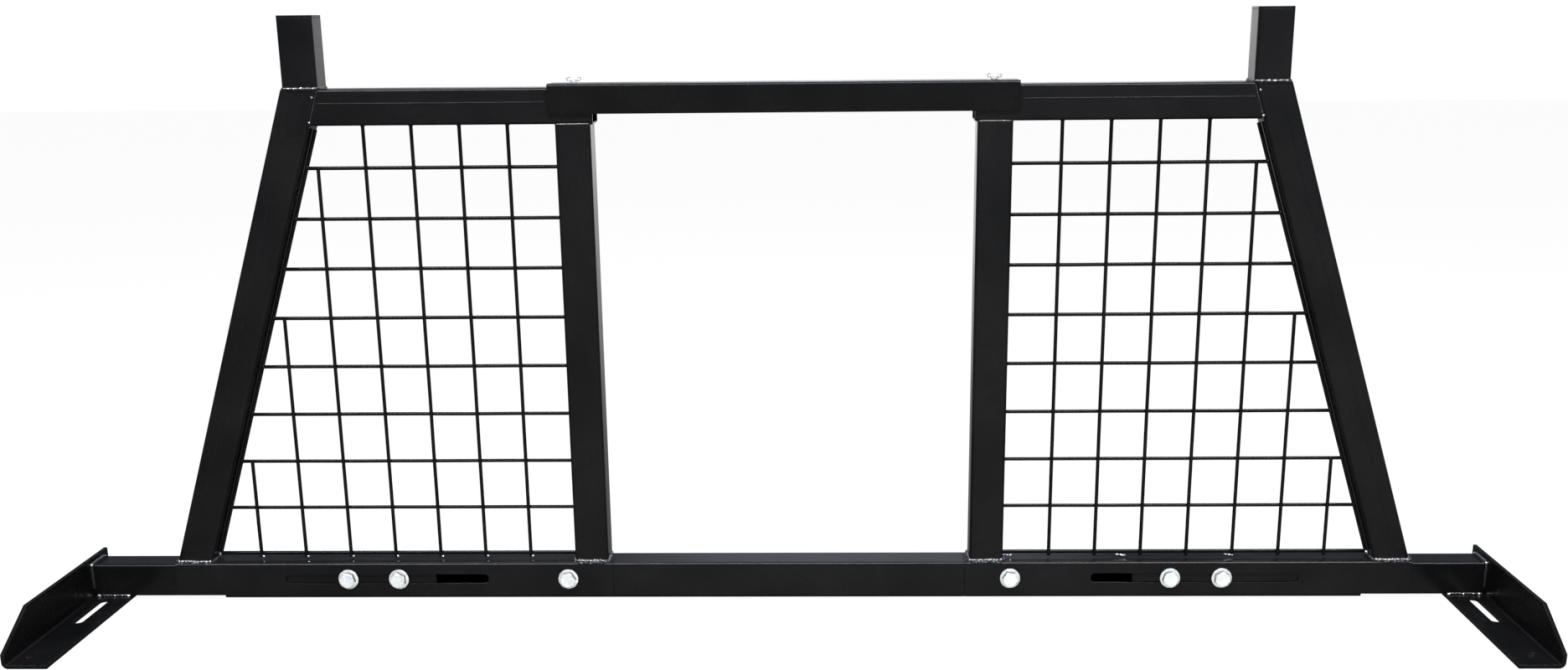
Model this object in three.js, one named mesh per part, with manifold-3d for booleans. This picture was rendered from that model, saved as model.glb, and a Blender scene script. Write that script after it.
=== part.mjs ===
// Adjustable headache rack for a pickup bed: two mirrored side frames with wire mesh slide on a centre
// section, and an arm with an angle foot telescopes out of the outer end of each lower rail.
//
// Millimetres. +X is to the right for someone in the bed looking at the cab, -Y points down the bed,
// +Z is up. The origin is on the rack's centre plane, halfway along the feet, at their undersides.

import * as THREE from "three";
import { mergeVertices } from "three/addons/utils/BufferGeometryUtils.js";
import Module from "manifold-3d";

const wasm = await Module();
wasm.setup();

// Square tube: the posts, top rails, stubs, arms and couplers are TUBE, and the lower rails and the
// centre bar are RAIL, which TUBE slides in.
const TUBE = 45;
const TUBE_RADIUS = 4;
const RAIL = 50;
const RAIL_RADIUS = 5;
const WALL = 2;
const CORNER_STEPS = 4;

// Heights above the undersides of the feet.
const FOOT_THICKNESS = 5;
const ARM_MIDDLE_Z = FOOT_THICKNESS + TUBE / 2;
const RAIL_TOP_Z = ARM_MIDDLE_Z + RAIL / 2;
const RAIL_BOTTOM_Z = ARM_MIDDLE_Z - RAIL / 2;
const TOP_RAIL_TOP_Z = 675;
const TOP_RAIL_BOTTOM_Z = TOP_RAIL_TOP_Z - TUBE;
const STUB_TOP_Z = 764.5;
const BOLT_Z = 30;

// Places along a side frame, measured outwards from the rack's centre plane.
const SEAM_X = 237.5;
const SEAM_GAP = 0.5;
const TOP_RAIL_INNER_X = 240;
const INNER_POST_X = 243.5;
const OUTER_POST_FOOT_X = 832;
const OUTER_POST_LEAN = THREE.MathUtils.degToRad(17.7);
const STUB_OUTER_X = 630.5;
const RAIL_END_X = 835;
const CAP_THICKNESS = 3;

// Lower rail: clamp slot, notch that lets the foot pass under, and hole for the centre bolt.
const CLAMP_SLOT_INNER_X = 407;
const CLAMP_SLOT_OUTER_X = 685.5;
const NOTCH_LENGTH = 65;
const NOTCH_HEIGHT = 6;
const CENTRE_BOLT_X = 298.5;
const BOLT_HOLE_RADIUS = 6.5;
const HOLE_STEPS = 6;

// Couplers: inner sleeves that join the centre bar to the lower rails.
const COUPLER_INNER_X = 120;
const COUPLER_OUTER_X = 350;
const SIDE_TRAVEL = 20;

// Arms: how far each stands out of its rail, and the clamp bolts' distances from the arm's outer end.
const ARM_LENGTH = 472;
const LEFT_EXTENSION = 116.5;
const RIGHT_EXTENSION = 100;
const CLAMP_BOLT_OFFSETS = { outer: 353, inner: 422 };

// Foot: a bent plate that runs down the bed, welded under and beyond the arm's outer end.
const FOOT_FRONT_Y = -159;
const FOOT_LENGTH = 329;
const FOOT_WIDTH = 56;
const FOOT_HEIGHT = 57.5;
const FOOT_BEND_RADIUS = 3;
const FOOT_CHAMFER_LENGTH = 76.5;
const FOOT_CHAMFER_HEIGHT = 39;
const FOOT_SLOT = { inset: 21, y: 49, length: 100, width: 13 };

// Top channel: an inverted U that lies over the inner ends of the top rails.
const CHANNEL_HALF_LENGTH = 296;
const CHANNEL_DEPTH = 52;
const CHANNEL_HEIGHT = 37;
const CHANNEL_WALL = 3;
const CHANNEL_RADIUS = 4;
const CHANNEL_CLEARANCE = 1.5;
const CHANNEL_TOP_Z = TOP_RAIL_TOP_Z + CHANNEL_CLEARANCE + CHANNEL_WALL;
const WING_SCREW_X = 265;
const WING_SCREW_TURN = { left: 20, right: -12 };

// Mesh panel: welded wires, with a rod along the bottom and one along the leaning post.
const WIRE_RADIUS = 2.4;
const ROD_RADIUS = 2.6;
const WIRE_SIDES = 6;
const WIRE_OVERLAP = 0.9;
const FIRST_COLUMN_X = 352;
const COLUMN_PITCH = 61.7;
const COLUMNS = 7;
const BOTTOM_ROD_Z = 59.5;
const ROW_PITCH = 64.55;
const ROWS = 8;
const WIRE_FOOT = 2.5;
const CUT_MARGIN = 15;

// Fasteners: M12 hexagon bolts with washers and flange nuts, and M6 wing screws.
const BOLT_RADIUS = 6;
const HEX_ACROSS_FLATS = 19;
const HEX_CHAMFER = 0.4;
const HEAD_HEIGHT = 7.5;
const WASHER_RADIUS = 13.5;
const WASHER_THICKNESS = 2.4;
const NUT_HEIGHT = 11;
const NUT_FLANGE_THICKNESS = 2.2;
const NUT_BORE_RADIUS = 6.15;
const BOLT_TIP = 3;
const SEAT_GAP = 0.1;
const ROUND_SEGMENTS = 20;
const WING_SHANK_RADIUS = 3;
const WING_HOLE_RADIUS = 3.3;
const WING_HUB = { footRadius: 4.6, topRadius: 4.2, shoulderZ: 5, faceRadius: 3.4, faceZ: 5.8 };
const WING_LOBE = { reach: 6.4, height: 5.6, radius: 3.3, thickness: 2.4 };
const WING_SEGMENTS = 16;

const WELD_GAP = 0.3;
const MERGE_DISTANCE = 1e-4;
const RACK_Y = 133;
const QUARTER = Math.PI / 2;

const powderCoat = new THREE.MeshStandardMaterial({
  color: 0x101113,
  roughness: 0.42,
  metalness: 0.35,
});
const zincPlate = new THREE.MeshStandardMaterial({
  color: 0xd3d5d6,
  roughness: 0.3,
  metalness: 1,
});

// ---- Solids: closed meshes joined and cut by manifold-3d.

function toSolid(geometry) {
  const bare = geometry.clone();
  bare.deleteAttribute("normal");
  bare.deleteAttribute("uv");
  const merged = mergeVertices(bare, MERGE_DISTANCE);
  const vertProperties = new Float32Array(merged.attributes.position.array);
  const triVerts = new Uint32Array(merged.index.array);
  return new wasm.Manifold(new wasm.Mesh({ numProp: 3, vertProperties, triVerts }));
}

function toGeometry(solid) {
  const { vertProperties, triVerts } = solid.getMesh();
  const geometry = new THREE.BufferGeometry();
  geometry.setAttribute("position", new THREE.BufferAttribute(new Float32Array(vertProperties), 3));
  geometry.setIndex(new THREE.BufferAttribute(new Uint32Array(triVerts), 1));
  geometry.computeVertexNormals();
  return geometry;
}

function cut(geometry, ...cutters) {
  const blank = toSolid(geometry);
  return toGeometry(cutters.map(toSolid).reduce((solid, cutter) => solid.subtract(cutter), blank));
}

function join(...geometries) {
  return toGeometry(geometries.map(toSolid).reduce((whole, piece) => whole.add(piece)));
}

function keepInside(geometry, limit) {
  return toGeometry(toSolid(geometry).intersect(toSolid(limit)));
}

// Mirrors a geometry in the rack's centre plane, and turns its triangles so that they still face out.
function mirrored(geometry) {
  const copy = (geometry.index ? geometry.toNonIndexed() : geometry.clone()).scale(-1, 1, 1);
  const position = copy.attributes.position;
  for (let corner = 0; corner < position.count; corner += 3) {
    const second = new THREE.Vector3().fromBufferAttribute(position, corner + 1);
    const third = new THREE.Vector3().fromBufferAttribute(position, corner + 2);
    position.setXYZ(corner + 1, third.x, third.y, third.z);
    position.setXYZ(corner + 2, second.x, second.y, second.z);
  }
  copy.computeVertexNormals();
  return copy;
}

// ---- Outlines and basic shapes.

function roundedSquare(size, radius) {
  const flat = size / 2 - radius;
  const outline = new THREE.Shape();
  outline.absarc(flat, flat, radius, 0, QUARTER);
  outline.absarc(-flat, flat, radius, QUARTER, 2 * QUARTER);
  outline.absarc(-flat, -flat, radius, 2 * QUARTER, 3 * QUARTER);
  outline.absarc(flat, -flat, radius, 3 * QUARTER, 4 * QUARTER);
  return outline;
}

function slotOutline(length, width) {
  const reach = (length - width) / 2;
  const outline = new THREE.Shape();
  outline.absarc(reach, 0, width / 2, -QUARTER, QUARTER);
  outline.absarc(-reach, 0, width / 2, QUARTER, 3 * QUARTER);
  return outline;
}

function extrude(outline, depth, curveSegments = CORNER_STEPS) {
  return new THREE.ExtrudeGeometry(outline, { depth, curveSegments, bevelEnabled: false });
}

// A square tube that stands on z = 0.
function uprightTube(size, radius, length) {
  const outline = roundedSquare(size, radius);
  outline.holes.push(roundedSquare(size - 2 * WALL, radius - WALL));
  return extrude(outline, length);
}

// A square tube along X between two places, with its middle at height z.
function levelTube(size, radius, fromX, toX, z) {
  return uprightTube(size, radius, toX - fromX).rotateY(QUARTER).translate(fromX, 0, z);
}

function box(fromX, toX, fromY, toY, fromZ, toZ) {
  const shape = new THREE.BoxGeometry(toX - fromX, toY - fromY, toZ - fromZ);
  return shape.translate((fromX + toX) / 2, (fromY + toY) / 2, (fromZ + toZ) / 2);
}

// A cylinder along Y, centred on the origin.
function pin(radius, length, segments) {
  return new THREE.CylinderGeometry(radius, radius, length, segments);
}

// Cutters along Y, right through the rack's depth.
function boltHole(x) {
  return pin(BOLT_HOLE_RADIUS, 2 * RAIL, 2 * HOLE_STEPS).translate(x, 0, BOLT_Z);
}

function slotThrough(fromX, toX, height) {
  return extrude(slotOutline(toX - fromX, height), 2 * RAIL, HOLE_STEPS)
    .rotateX(QUARTER)
    .translate((fromX + toX) / 2, RAIL, BOLT_Z);
}

function rod(from, to, radius) {
  const up = new THREE.Vector3(0, 1, 0);
  const along = new THREE.Vector3().subVectors(to, from);
  const geometry = new THREE.CylinderGeometry(radius, radius, along.length(), WIRE_SIDES);
  const turn = new THREE.Quaternion().setFromUnitVectors(up, along.clone().normalize());
  const middle = new THREE.Vector3().addVectors(from, to).multiplyScalar(0.5);
  return geometry.applyQuaternion(turn).translate(middle.x, middle.y, middle.z);
}

// ---- Side frame, drawn for the right-hand side.

// How far out the leaning post's outer face is at height z.
function outerFaceX(z) {
  return OUTER_POST_FOOT_X - (z - RAIL_TOP_Z) * Math.tan(OUTER_POST_LEAN);
}

function innerFaceX(z) {
  return outerFaceX(z) - TUBE / Math.cos(OUTER_POST_LEAN);
}

// Leans an upright shape that is centred on the Z axis into the leaning post's place.
function lean(geometry) {
  const middleX = (outerFaceX(RAIL_TOP_Z) + innerFaceX(RAIL_TOP_Z)) / 2;
  return geometry.rotateY(-OUTER_POST_LEAN).translate(middleX, 0, RAIL_TOP_Z);
}

function lowerRail() {
  const blank = levelTube(RAIL, RAIL_RADIUS, SEAM_X + SEAM_GAP / 2, RAIL_END_X, ARM_MIDDLE_Z);
  const notchTop = RAIL_BOTTOM_Z + NOTCH_HEIGHT;
  return cut(
    blank,
    slotThrough(CLAMP_SLOT_INNER_X, CLAMP_SLOT_OUTER_X, 2 * BOLT_HOLE_RADIUS),
    boltHole(CENTRE_BOLT_X),
    box(RAIL_END_X - NOTCH_LENGTH, RAIL_END_X + 1, -RAIL, RAIL, RAIL_BOTTOM_Z - 1, notchTop),
  );
}

function innerPost() {
  const height = TOP_RAIL_BOTTOM_Z - RAIL_TOP_Z;
  return uprightTube(TUBE, TUBE_RADIUS, height).translate(INNER_POST_X + TUBE / 2, 0, RAIL_TOP_Z);
}

function outerPost() {
  const length = TOP_RAIL_TOP_Z / Math.cos(OUTER_POST_LEAN) + TUBE;
  const blank = lean(uprightTube(TUBE, TUBE_RADIUS, length).translate(0, 0, -TUBE));
  return keepInside(blank, box(0, RAIL_END_X, -RAIL, RAIL, RAIL_TOP_Z, TOP_RAIL_TOP_Z));
}

function topRail() {
  const middleZ = TOP_RAIL_TOP_Z - TUBE / 2;
  const insidePost = (innerFaceX(middleZ) + outerFaceX(middleZ)) / 2;
  const postWidth = TUBE + 2 * WELD_GAP;
  const postSpace = box(-postWidth / 2, postWidth / 2, -RAIL, RAIL, 0, TOP_RAIL_TOP_Z + RAIL);
  return cut(levelTube(TUBE, TUBE_RADIUS, TOP_RAIL_INNER_X, insidePost, middleZ), lean(postSpace));
}

function stubPost() {
  const height = STUB_TOP_Z - CAP_THICKNESS - TOP_RAIL_TOP_Z;
  return uprightTube(TUBE, TUBE_RADIUS, height).translate(STUB_OUTER_X - TUBE / 2, 0, TOP_RAIL_TOP_Z);
}

function stubCap() {
  const plate = extrude(roundedSquare(TUBE, TUBE_RADIUS), CAP_THICKNESS);
  return plate.translate(STUB_OUTER_X - TUBE / 2, 0, STUB_TOP_Z - CAP_THICKNESS);
}

// The height where an upright wire ends: the top rail, or the last row well clear of the leaning post.
function columnTop(x) {
  const postZ = RAIL_TOP_Z + (innerFaceX(RAIL_TOP_Z) - x) / Math.tan(OUTER_POST_LEAN);
  if (postZ > TOP_RAIL_BOTTOM_Z + CUT_MARGIN) {
    return TOP_RAIL_BOTTOM_Z;
  }
  const row = Math.min(ROWS, Math.floor((postZ - CUT_MARGIN - BOTTOM_ROD_Z) / ROW_PITCH));
  return BOTTOM_ROD_Z + row * ROW_PITCH + ROD_RADIUS;
}

function meshPanel() {
  const backY = WIRE_RADIUS - WIRE_OVERLAP / 2;
  const postX = INNER_POST_X + TUBE;
  const innerEnd = (z) => new THREE.Vector3(postX, backY, z);
  const outerEnd = (z) => {
    const clearance = (ROD_RADIUS + WELD_GAP) / Math.cos(OUTER_POST_LEAN);
    return new THREE.Vector3(innerFaceX(z) - clearance, backY, z);
  };
  const wires = [
    rod(innerEnd(BOTTOM_ROD_Z), outerEnd(BOTTOM_ROD_Z), ROD_RADIUS),
    rod(outerEnd(BOTTOM_ROD_Z), outerEnd(TOP_RAIL_BOTTOM_Z - 2 * ROD_RADIUS), ROD_RADIUS),
  ];
  for (let row = 1; row <= ROWS; row += 1) {
    const z = BOTTOM_ROD_Z + row * ROW_PITCH;
    wires.push(rod(innerEnd(z), outerEnd(z), WIRE_RADIUS));
  }
  for (let column = 0; column < COLUMNS; column += 1) {
    const x = FIRST_COLUMN_X + column * COLUMN_PITCH;
    const foot = new THREE.Vector3(x, -backY, BOTTOM_ROD_Z - ROD_RADIUS - WIRE_FOOT);
    wires.push(rod(foot, new THREE.Vector3(x, -backY, columnTop(x)), WIRE_RADIUS));
  }
  return join(...wires);
}

// ---- Arm and foot, drawn for the right-hand side with the arm's outer end at x = 0.

function armTube() {
  const copeTop = FOOT_THICKNESS + FOOT_BEND_RADIUS + WELD_GAP;
  const copeX = -FOOT_BEND_RADIUS - WELD_GAP;
  return cut(
    levelTube(TUBE, TUBE_RADIUS, -ARM_LENGTH, 0, ARM_MIDDLE_Z),
    boltHole(-CLAMP_BOLT_OFFSETS.outer),
    boltHole(-CLAMP_BOLT_OFFSETS.inner),
    box(copeX, 1, -RAIL, RAIL, FOOT_THICKNESS - 1, copeTop),
  );
}

function footProfile() {
  const outerRadius = FOOT_BEND_RADIUS + FOOT_THICKNESS;
  const profile = new THREE.Shape();
  profile.moveTo(FOOT_THICKNESS - FOOT_WIDTH, FOOT_THICKNESS);
  profile.lineTo(FOOT_THICKNESS - FOOT_WIDTH, 0);
  profile.absarc(-FOOT_BEND_RADIUS, outerRadius, outerRadius, -QUARTER, 0);
  profile.lineTo(FOOT_THICKNESS, FOOT_HEIGHT);
  profile.lineTo(0, FOOT_HEIGHT);
  profile.absarc(-FOOT_BEND_RADIUS, outerRadius, FOOT_BEND_RADIUS, 0, -QUARTER, true);
  return profile;
}

// The part of the plate above the sloping front edge of its upright flange.
function footChamfer() {
  const outline = new THREE.Shape();
  outline.moveTo(FOOT_FRONT_Y - 1, FOOT_HEIGHT - FOOT_CHAMFER_HEIGHT);
  outline.lineTo(FOOT_FRONT_Y, FOOT_HEIGHT - FOOT_CHAMFER_HEIGHT);
  outline.lineTo(FOOT_FRONT_Y + FOOT_CHAMFER_LENGTH, FOOT_HEIGHT);
  outline.lineTo(FOOT_FRONT_Y + FOOT_CHAMFER_LENGTH, FOOT_HEIGHT + 1);
  outline.lineTo(FOOT_FRONT_Y - 1, FOOT_HEIGHT + 1);
  return extrude(outline, 4 * FOOT_THICKNESS)
    .rotateX(QUARTER)
    .rotateZ(QUARTER)
    .translate(-2 * FOOT_THICKNESS, 0, 0);
}

function footBracket() {
  const blank = extrude(footProfile(), FOOT_LENGTH)
    .rotateX(QUARTER)
    .translate(0, FOOT_FRONT_Y + FOOT_LENGTH, 0);
  const slot = extrude(slotOutline(FOOT_SLOT.length, FOOT_SLOT.width), 4 * FOOT_THICKNESS)
    .rotateZ(QUARTER)
    .translate(-FOOT_SLOT.inset, FOOT_SLOT.y, -FOOT_THICKNESS);
  return cut(blank, slot, footChamfer());
}

// ---- Centre section.

function centreBar() {
  const end = SEAM_X - SEAM_GAP / 2;
  return levelTube(RAIL, RAIL_RADIUS, -end, end, ARM_MIDDLE_Z);
}

function coupler() {
  const slotInnerX = CENTRE_BOLT_X - BOLT_HOLE_RADIUS;
  const slotOuterX = CENTRE_BOLT_X + BOLT_HOLE_RADIUS + SIDE_TRAVEL;
  return cut(
    levelTube(TUBE, TUBE_RADIUS, COUPLER_INNER_X, COUPLER_OUTER_X, ARM_MIDDLE_Z),
    slotThrough(slotInnerX, slotOuterX, 2 * BOLT_HOLE_RADIUS),
  );
}

function channelProfile() {
  const side = CHANNEL_DEPTH / 2;
  const innerSide = side - CHANNEL_WALL;
  const innerRadius = CHANNEL_RADIUS - CHANNEL_WALL;
  const shoulder = side - CHANNEL_RADIUS;
  const profile = new THREE.Shape();
  profile.moveTo(side, -CHANNEL_HEIGHT);
  profile.absarc(shoulder, -CHANNEL_RADIUS, CHANNEL_RADIUS, 0, QUARTER);
  profile.absarc(-shoulder, -CHANNEL_RADIUS, CHANNEL_RADIUS, QUARTER, 2 * QUARTER);
  profile.lineTo(-side, -CHANNEL_HEIGHT);
  profile.lineTo(-innerSide, -CHANNEL_HEIGHT);
  profile.absarc(-shoulder, -CHANNEL_RADIUS, innerRadius, 2 * QUARTER, QUARTER, true);
  profile.absarc(shoulder, -CHANNEL_RADIUS, innerRadius, QUARTER, 0, true);
  profile.lineTo(innerSide, -CHANNEL_HEIGHT);
  return profile;
}

function topChannel() {
  const blank = extrude(channelProfile(), 2 * CHANNEL_HALF_LENGTH)
    .rotateX(QUARTER)
    .rotateZ(QUARTER)
    .translate(-CHANNEL_HALF_LENGTH, 0, CHANNEL_TOP_Z);
  const screwHole = (x) =>
    pin(WING_HOLE_RADIUS, 4 * CHANNEL_WALL, WING_SEGMENTS)
      .rotateX(QUARTER)
      .translate(x, 0, CHANNEL_TOP_Z);
  return cut(blank, screwHole(-WING_SCREW_X), screwHole(WING_SCREW_X));
}

// ---- Fasteners. Bolts lie along Y with the seat of the head on y = 0 and the head at -Y.

function lathe(points) {
  const outline = points.map(([radius, y]) => new THREE.Vector2(radius, y));
  return new THREE.LatheGeometry(outline, ROUND_SEGMENTS);
}

// A hexagon between two places on Y, whose outer corners are turned off at the face that is given.
function hexagon(fromY, toY, chamferedY) {
  const corner = HEX_ACROSS_FLATS / Math.sqrt(3);
  const prism = pin(corner, toY - fromY, 6).translate(0, (fromY + toY) / 2, 0);
  const faceRadius = HEX_ACROSS_FLATS / 2 - HEX_CHAMFER;
  const coneDepth = 2 * corner;
  const widen = Math.sign((fromY + toY) / 2 - chamferedY) * coneDepth;
  const slope = coneDepth * Math.sqrt(3);
  const cone = [
    [0, chamferedY],
    [faceRadius, chamferedY],
    [faceRadius + slope, chamferedY + widen],
    [0, chamferedY + widen],
  ];
  return keepInside(prism, lathe(widen > 0 ? cone : cone.reverse()));
}

function bolt() {
  const grip = RAIL + WASHER_THICKNESS + 3 * SEAT_GAP + NUT_HEIGHT;
  const shank = lathe([
    [0, -1],
    [BOLT_RADIUS, -1],
    [BOLT_RADIUS, grip + BOLT_TIP - 1],
    [BOLT_RADIUS - 1, grip + BOLT_TIP],
    [0, grip + BOLT_TIP],
  ]);
  return join(hexagon(-HEAD_HEIGHT, 0, -HEAD_HEIGHT), shank);
}

function washer() {
  const bore = BOLT_HOLE_RADIUS;
  return lathe([
    [bore, 0],
    [WASHER_RADIUS, 0],
    [WASHER_RADIUS, WASHER_THICKNESS],
    [bore, WASHER_THICKNESS],
    [bore, 0],
  ]);
}

function flangeNut() {
  const flange = lathe([
    [0, 0],
    [WASHER_RADIUS, 0],
    [WASHER_RADIUS, NUT_FLANGE_THICKNESS / 2],
    [HEX_ACROSS_FLATS / 2, NUT_FLANGE_THICKNESS],
    [0, NUT_FLANGE_THICKNESS],
  ]);
  const hexagonal = hexagon(NUT_FLANGE_THICKNESS / 2, NUT_HEIGHT, NUT_HEIGHT);
  return cut(join(hexagonal, flange), pin(NUT_BORE_RADIUS, 4 * NUT_HEIGHT, ROUND_SEGMENTS));
}

// A wing screw that stands on z = 0, the channel's top face.
function wingScrew() {
  const { footRadius, topRadius, shoulderZ, faceRadius, faceZ } = WING_HUB;
  const { reach, height, radius, thickness } = WING_LOBE;
  const shankLength = CHANNEL_TOP_Z - TOP_RAIL_TOP_Z - SEAT_GAP;
  const hub = lathe([
    [0, -shankLength],
    [WING_SHANK_RADIUS, -shankLength],
    [WING_SHANK_RADIUS, SEAT_GAP],
    [footRadius, SEAT_GAP],
    [topRadius, shoulderZ],
    [faceRadius, faceZ],
    [0, faceZ],
  ]).rotateX(QUARTER);
  const lobe = (side) => pin(radius, thickness, WING_SEGMENTS).translate(side * reach, 0, height);
  const web = box(-reach, reach, -thickness / 2, thickness / 2, 1, height);
  return join(hub, lobe(-1), lobe(1), web);
}

// ---- Assembly.

const rack = new THREE.Group();
const root = new THREE.Group();
rack.position.y = RACK_Y;
root.add(rack);

function addTo(group, name, geometry, material, x = 0, y = 0, z = 0) {
  const mesh = new THREE.Mesh(geometry, material);
  mesh.name = name;
  mesh.position.set(x, y, z);
  group.add(mesh);
  return mesh;
}

function addBolt(side, label, x) {
  const headY = -RAIL / 2 - 2 * SEAT_GAP - WASHER_THICKNESS;
  addTo(rack, `${side}_${label}_bolt`, bolt(), zincPlate, x, headY, BOLT_Z);
  addTo(rack, `${side}_${label}_washer`, washer(), zincPlate, x, headY + SEAT_GAP, BOLT_Z);
  addTo(rack, `${side}_${label}_nut`, flangeNut(), zincPlate, x, RAIL / 2 + SEAT_GAP, BOLT_Z);
}

const sideFrame = {
  lower_rail: lowerRail(),
  inner_post: innerPost(),
  outer_post: outerPost(),
  top_rail: topRail(),
  stub_post: stubPost(),
  stub_cap: stubCap(),
  mesh_panel: meshPanel(),
};
const armTubeShape = armTube();
const footShape = footBracket();
const couplerShape = coupler();

function addSide(side, sign, extension) {
  const handed = (geometry) => (sign > 0 ? geometry : mirrored(geometry));
  for (const [label, geometry] of Object.entries(sideFrame)) {
    addTo(rack, `${side}_${label}`, handed(geometry), powderCoat);
  }
  addTo(rack, `${side}_coupler`, handed(couplerShape), powderCoat);
  addBolt(side, "centre", sign * CENTRE_BOLT_X);
  const armEnd = RAIL_END_X + extension;
  addTo(rack, `${side}_arm_tube`, handed(armTubeShape), powderCoat, sign * armEnd);
  addTo(root, `${side}_foot`, handed(footShape), powderCoat, sign * (armEnd + WELD_GAP));
  for (const [label, offset] of Object.entries(CLAMP_BOLT_OFFSETS)) {
    addBolt(side, label, sign * (armEnd - offset));
  }
  const screwX = sign * WING_SCREW_X;
  const screw = addTo(rack, `${side}_wing_screw`, wingScrew(), zincPlate, screwX, 0, CHANNEL_TOP_Z);
  screw.rotation.z = THREE.MathUtils.degToRad(WING_SCREW_TURN[side]);
}

addTo(rack, "top_channel", topChannel(), powderCoat);
addTo(rack, "centre_bar", centreBar(), powderCoat);
addSide("left", -1, LEFT_EXTENSION);
addSide("right", 1, RIGHT_EXTENSION);

export default root;
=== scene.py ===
"""Looks of the headache rack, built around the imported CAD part: black powder coat over welded tube,
bright zinc fasteners, weld beads, welded wire mesh, and a pale studio."""

import math

import bmesh
import bpy
from mathutils import Matrix, Vector, noise


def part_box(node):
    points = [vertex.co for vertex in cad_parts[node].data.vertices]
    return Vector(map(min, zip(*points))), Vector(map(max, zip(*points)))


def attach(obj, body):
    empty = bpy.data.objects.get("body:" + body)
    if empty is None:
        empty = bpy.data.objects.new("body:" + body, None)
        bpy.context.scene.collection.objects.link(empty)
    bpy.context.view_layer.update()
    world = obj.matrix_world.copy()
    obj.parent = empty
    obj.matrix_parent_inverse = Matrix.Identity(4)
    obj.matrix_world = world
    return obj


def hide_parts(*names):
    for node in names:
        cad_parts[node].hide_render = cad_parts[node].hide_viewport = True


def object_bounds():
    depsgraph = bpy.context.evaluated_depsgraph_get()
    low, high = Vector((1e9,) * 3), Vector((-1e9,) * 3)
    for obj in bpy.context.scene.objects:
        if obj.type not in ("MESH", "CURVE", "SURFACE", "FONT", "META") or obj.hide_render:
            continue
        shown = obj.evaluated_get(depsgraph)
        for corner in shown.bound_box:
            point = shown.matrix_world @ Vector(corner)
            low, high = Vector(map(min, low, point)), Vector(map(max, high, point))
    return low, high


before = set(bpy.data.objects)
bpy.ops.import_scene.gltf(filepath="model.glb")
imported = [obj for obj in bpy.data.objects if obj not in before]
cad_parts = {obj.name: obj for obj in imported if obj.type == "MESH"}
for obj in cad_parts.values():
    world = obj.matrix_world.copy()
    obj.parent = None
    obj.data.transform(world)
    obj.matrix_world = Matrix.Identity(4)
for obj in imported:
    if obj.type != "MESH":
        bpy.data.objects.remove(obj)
cad_low, cad_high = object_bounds()

SIDES = {"left": -1, "right": 1}
TAU = 2 * math.pi

# Shape facts that a node's box doesn't give, in metres.
TUBE = 0.045
TUBE_RADIUS = 0.004

# Wire mesh
WIRE_RADIUS = 0.0024
ROD_RADIUS = 0.0026
WIRE_DEPTH = 0.00195  # from the tubes' centre plane to a wire's axis
WIRE_FOOT = 0.0025  # how far an upright wire reaches below the bottom rod
FIRST_COLUMN_X = 0.352
COLUMN_PITCH = 0.0617
COLUMNS = 7
BOTTOM_ROD_Z = 0.0595
ROW_PITCH = 0.06455
ROWS = 8
CUT_MARGIN = 0.015  # wires that the leaning post cuts off end at the last row this far below it

# Bolts, M12
THREAD_PITCH = 0.00175
BOLT_RADIUS = 0.006
HEX_FLATS = 0.019
HEAD_HEIGHT = 0.0075
HEAD_DISH = 0.00008
PLAIN_SHANK = 0.030
BOLT_TURNS = {
    "left_outer": 18, "left_inner": 3, "left_centre": 33,
    "right_outer": 56, "right_inner": 41, "right_centre": 23,
}  # degrees that each head stands turned

# Radii of the weld beads
INNER_POST_BEAD = 0.0036
LEANING_POST_BEAD = 0.0032
STUB_BEAD = 0.0024
POST_HEAD_BEAD = 0.0015
BUTT_BEAD = 0.0013
ARM_END_BEAD = 0.0022
ARM_SIDE_BEAD = 0.0021
BEAD_STEP = 0.00065  # between the rings of a bead
BEAD_SINK = 0.0008  # a foot bead's axis lies this far inside the post's faces and above the rail

# Blobs in the glint-painted weld coat, placed as painted highlights on the beads: (share of the half
# width, radius) on a stub's bead, (share of the length, radius) on an arm's side beads
STUB_GLINT_BLOBS = [(-0.62, 0.0026), (-0.26, 0.0030), (0.12, 0.0022), (0.78, 0.0020)]
ARM_GLINT_BLOBS = [(0.02, 0.0036), (0.22, 0.0020), (0.38, 0.0022), (0.52, 0.0024), (0.97, 0.0032)]

# Short stitch welds under the right panel's bottom rod, in the glint-painted weld coat as painted
# highlights: (columns from the first, half length)
STITCHES = [(1.57, 0.0065), (3.93, 0.006)]
POST_STITCH = (0.007, 0.006)  # the one beside the post: distance from the post, half length

POST_SEAM_SHARE = 0.62  # where a leaning post's seam runs, from its inner to its outer face

# Punch marks on the feet: distances from the foot's inner edge and from its front; (radius, height)
# pairs of one mark
FOOT_MARKS = {"left": [(0.036, 0.030)], "right": [(0.030, 0.040), (0.026, 0.032)]}
MARK_SECTION = [
    (0.0046, -0.0001), (0.0044, 0.0002), (0.0036, 0.0005), (0.0028, 0.0003),
    (0.0018, 0.0001), (0.0006, 0.0001),
]

# Rounding of cut edges
TUBE_EDGE = 0.0004
PLATE_EDGE = 0.0007

X, Y, Z = Vector((1, 0, 0)), Vector((0, 1, 0)), Vector((0, 0, 1))

rack_y = sum(corner.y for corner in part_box("centre_bar")) / 2


# ---- Materials


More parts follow.
